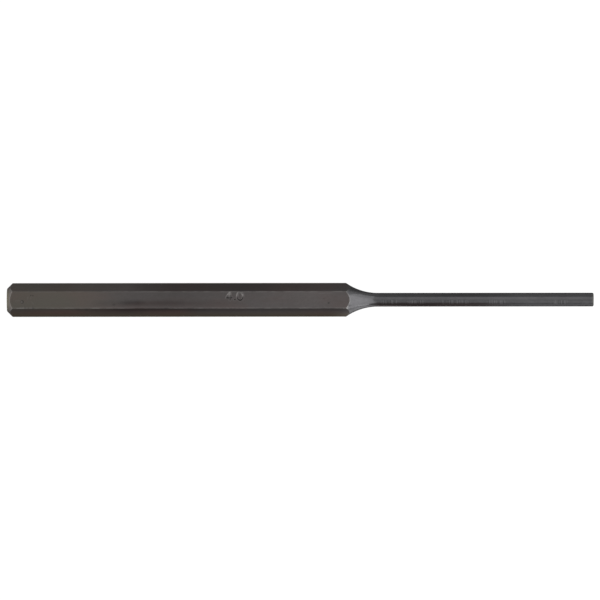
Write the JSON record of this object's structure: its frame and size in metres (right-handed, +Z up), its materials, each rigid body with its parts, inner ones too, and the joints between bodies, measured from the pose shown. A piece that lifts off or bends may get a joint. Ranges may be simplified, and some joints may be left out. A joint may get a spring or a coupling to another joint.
{
  "type": "pin punch",
  "caption": "One-piece pin punch: a hexagonal shank with a chamfered struck end, a hollow turned neck and a long, straight round pin.",
  "frame": {"origin": "on the surface that the punch lies on, under the middle of its length and of its width", "axes": "+X along the tool from the struck face to the tip of the pin, +Z up, square to the flat that it lies on"},
  "size_m": [0.1588, 0.0092, 0.0079],
  "materials": {
    "black_oxide_steel": "black oxide over drawn bar and turned steel, satin"
  },
  "bodies": {
    "root": {"punch": "black_oxide_steel"}
  },
  "joints": []
}
